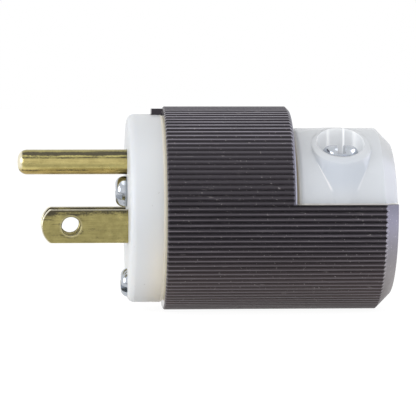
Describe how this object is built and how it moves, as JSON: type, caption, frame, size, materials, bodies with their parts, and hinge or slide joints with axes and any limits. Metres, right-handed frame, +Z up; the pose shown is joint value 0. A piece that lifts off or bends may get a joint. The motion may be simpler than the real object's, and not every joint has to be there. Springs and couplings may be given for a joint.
{
  "type": "type b plug",
  "caption": "Straight-blade mains plug with flat parallel blades, a round ground pin, a white front body, a ribbed black shell and a screwed cord clamp.",
  "frame": {"origin": "centre of the flat front face, on the axis of the round housing", "axes": "+X along the plug towards the cord end, the contacts point to -X; +Z up towards the ground pin and the cord clamp; the plug lies on its side"},
  "size_m": [0.071, 0.0388, 0.0388],
  "materials": {
    "black_nylon": "moulded ribbed nylon, satin",
    "white_nylon": "moulded nylon, satin",
    "clear_nylon": "milky translucent moulded nylon",
    "aged_brass": "stamped brass with tarnish streaks",
    "screw_brass": "turned brass",
    "zinc_plate": "bright zinc plate",
    "green_screw": "green dyed screw"
  },
  "bodies": {
    "root": {"housing_shell": "black_nylon", "front_body": "white_nylon", "terminal_block": "white_nylon", "cord_clamp": "clear_nylon", "line_blade": "aged_brass", "neutral_blade": "aged_brass", "ground_pin": "aged_brass", "line_terminal_screw": "screw_brass", "neutral_terminal_screw": "zinc_plate", "ground_terminal_screw": "green_screw", "line_pressure_plate": "screw_brass", "neutral_pressure_plate": "screw_brass", "ground_pressure_plate": "screw_brass", "block_screw": "zinc_plate", "housing_screw": "zinc_plate", "clamp_screw_left": "zinc_plate", "clamp_screw_right": "zinc_plate"}
  },
  "joints": []
}
